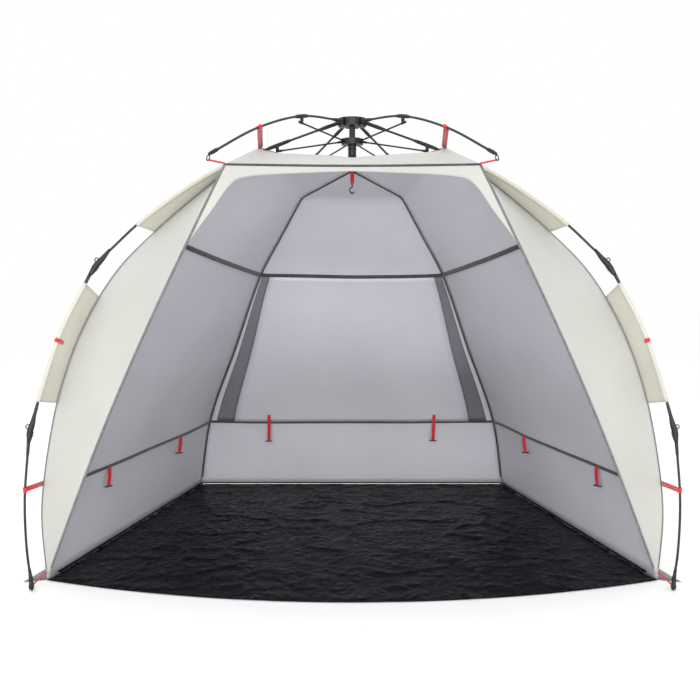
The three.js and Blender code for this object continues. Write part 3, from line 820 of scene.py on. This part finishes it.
def add_toggle(name, tree, anchor, lean, drop=0.072):
    """A red ribbon that hangs from the zip line, with a black bar across its end."""
    top = on_cloth(tree, anchor, 0.010)
    inward = INSIDE - top
    inward[2] = 0
    inward = inward / np.linalg.norm(inward) + np.array([0, -1.0, 0])
    inward = inward / np.linalg.norm(inward)
    side = np.cross(inward, (0, 0, 1))
    path = smooth([top, top + inward * 0.006 + side * lean * 0.3 + np.array([0, 0, -0.4 * drop]),
                   top + inward * 0.010 + side * lean + np.array([0, 0, -drop])], 14)
    grid = np.array([[p + side * 0.0075 * k for k in (-1, -0.5, 0, 0.5, 1)] for p in path])
    faces = [(i * 5 + j, (i + 1) * 5 + j, (i + 1) * 5 + j + 1, i * 5 + j + 1)
             for i in range(len(path) - 1) for j in range(4)]
    ribbon = link(name, grid.reshape(-1, 3), faces, [RED])
    ribbon.modifiers.new("thickness", "SOLIDIFY").thickness = 0.0012
    place(ribbon, ROOT, "red_webbing")
    fold_away(ribbon)
    bar_path = [path[-1] + side * s for s in np.linspace(-0.018, 0.018, 9)]
    bar = link(f"{name}_bar", *loft(bar_path, [0.0015, 0.003, 0.0028, 0.0026, 0.0026, 0.0026, 0.0028, 0.003, 0.0015],
                                    None, 12), [BLACK])
    place(bar, ROOT, "black_plastic")
    fold_away(bar)


def add_toggles(back_tree, sides):
    for word, (tree, rear, side) in sides.items():
        a, b = at_height(rear, ZIP_HEIGHT), at_height(side, ZIP_SIDE_HEIGHT)
        for number, share in enumerate((0.266, 0.71)):
            lean = 0.012 * (1 if word == "left" else -1)
            add_toggle(f"{word}_toggle_{number + 1}", tree, a + (b - a) * share, lean)
    for word, x in (("left", -0.405), ("right", 0.405)):
        rear_y = at_height(seam(BACK_SEAM, BACK_TURN), ZIP_HEIGHT)[1]
        anchor = np.array([x, rear_y, ZIP_HEIGHT + 0.055])
        add_toggle(f"rear_{word}_toggle", back_tree, anchor, 0.004, 0.128)


# Hub.
def add_hub_details():
    for name in ("top_hub", "stem", "lower_hub", "crown_ring"):
        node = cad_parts[name]
        node.data.materials.clear()
        node.data.materials.append(BLACK if name != "crown_ring" else PIPING)
    for node_name, body, rise in (("top_hub", ROOT, 0.0), ("lower_hub", "lower_hub", 0.0)):
        low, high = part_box(node_name)
        radius = (high.x - low.x) / 2
        centre = np.array([0, HUB_Y, 0.0])
        parts = []
        if node_name == "top_hub":
            profile = [(high.z - 0.001, radius * 0.52), (high.z - 0.0006, radius * 0.50), (high.z - 0.0002, radius * 0.46),
                       (high.z + 0.0006, radius * 0.30), (high.z + 0.001, radius * 0.10)]
            parts.append(loft([centre + np.array([1e-6 * i, 0, z]) for i, (z, _) in enumerate(profile)],
                              [r for _, r in profile], None, 32))
            for k in range(6):
                turn = math.radians(LEGS[k][2] + 14)
                spot = centre + np.array([math.cos(turn), math.sin(turn), 0]) * radius * 0.72
                parts.append(loft([spot + np.array([1e-6 * i, 0, high.z - 0.001 + 0.0008 * i]) for i in range(3)],
                                  [0.0034, 0.0032, 0.0018], None, 14))
        else:
            for z in (low.z + 0.004, low.z + 0.030, low.z + 0.056):
                parts.append(loft([centre + np.array([1e-6 * i, 0, z + 0.0025 * i]) for i in range(3)],
                                  [0.0150, 0.0166, 0.0150], None, 32))
        piece = link(f"{node_name}_rims", *joined(parts), [BLACK])
        place(piece, body, "black_plastic")


def add_hook():
    low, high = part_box("hook_ribbon")
    turns = np.linspace(low.z, high.z, 14)
    grid = np.array([[(x, HUB_Y + 0.0008 * math.sin(40 * z), z) for x in np.linspace(-0.007, 0.007, 5)] for z in turns])
    faces = [(i * 5 + j, (i + 1) * 5 + j, (i + 1) * 5 + j + 1, i * 5 + j + 1) for i in range(13) for j in range(4)]
    ribbon = link("hook_ribbon_webbing", grid.reshape(-1, 3), faces, [RED])
    ribbon.modifiers.new("thickness", "SOLIDIFY").thickness = 0.0014
    place(ribbon, "lower_hub", "red_webbing", "hook_ribbon")
    top = low.z - 0.005
    curve = [(0, top), (0, top - 0.009), (-0.008, top - 0.016), (-0.008, top - 0.025), (0, top - 0.032), (0.008, top - 0.026)]
    path = smooth([np.array([x, HUB_Y, z]) for x, z in curve], 48)
    radii = np.interp(np.linspace(0, 1, 49), [0, 0.06, 0.9, 1], [0.0028, 0.0025, 0.0025, 0.0014])
    eye = torus(np.array([0, HUB_Y, top + 0.0018]), np.array([1.0, 0, 0]), np.array([0, 0, 1.0]), 0.0038, 0.0014)
    hook = link("ceiling_hook_moulding", *joined([loft(path, radii, None, 14), eye]), [BLACK])
    place(hook, "hook", "black_plastic", "ceiling_hook")


# Floor and lights.
def add_stage():
    bpy.ops.mesh.primitive_plane_add(size=60, location=(0, 0, -0.001))
    floor = bpy.context.object
    floor.name = "studio_floor"
    material, tree, shader = nodes_of("pale_floor")
    shader.inputs["Base Color"].default_value = (0.99, 0.99, 0.99, 1)
    shader.inputs["Roughness"].default_value = 0.9
    floor.data.materials.append(material)
    world = bpy.data.worlds.new("studio")
    world.use_nodes = True
    world.node_tree.nodes["Background"].inputs["Color"].default_value = (1, 1, 1, 1)
    world.node_tree.nodes["Background"].inputs["Strength"].default_value = 1.0
    bpy.context.scene.world = world
    for name, spot, aim, size, power in (
            ("key", (-2.4, -4.2, 3.6), (0, 0, 0.6), 3.0, 30), ("front", (0, -7.0, 1.6), (0, 0, 0.7), 3.5, 270),
            ("top", (0, 0.2, 4.6), (0, 0, 0.5), 3.5, 25)):
        data = bpy.data.lights.new(name, "AREA")
        data.size = size
        data.energy = power
        light = bpy.data.objects.new(name, data)
        bpy.context.scene.collection.objects.link(light)
        light.location = spot
        light.rotation_euler = (Vector(aim) - Vector(spot)).to_track_quat("-Z", "Y").to_euler()
    bpy.context.scene.view_settings.view_transform = "Standard"


add_camera()
back_tree = add_back_wall()
sides = {word: add_side(word, sign) for word, sign in (("right", 1), ("left", -1))}
add_roof()
add_doorway_band()
add_groundsheet()
add_skirts()
for leg in LEGS:
    add_leg(*leg)
for word, sign in (("right", 1), ("left", -1)):
    add_sleeves(f"side_{word}", "side", mirrored(SIDE_TURN, sign), mirrored(SEAM_TURN, sign), SIDE_SEAM)
    add_sleeves(f"back_{word}", "back", mirrored(BACK_TURN, sign), mirrored(BACK_TURN, sign), BACK_SEAM)
add_straps()
add_toggles(back_tree, sides)
add_hub_details()
add_hook()
add_stage()
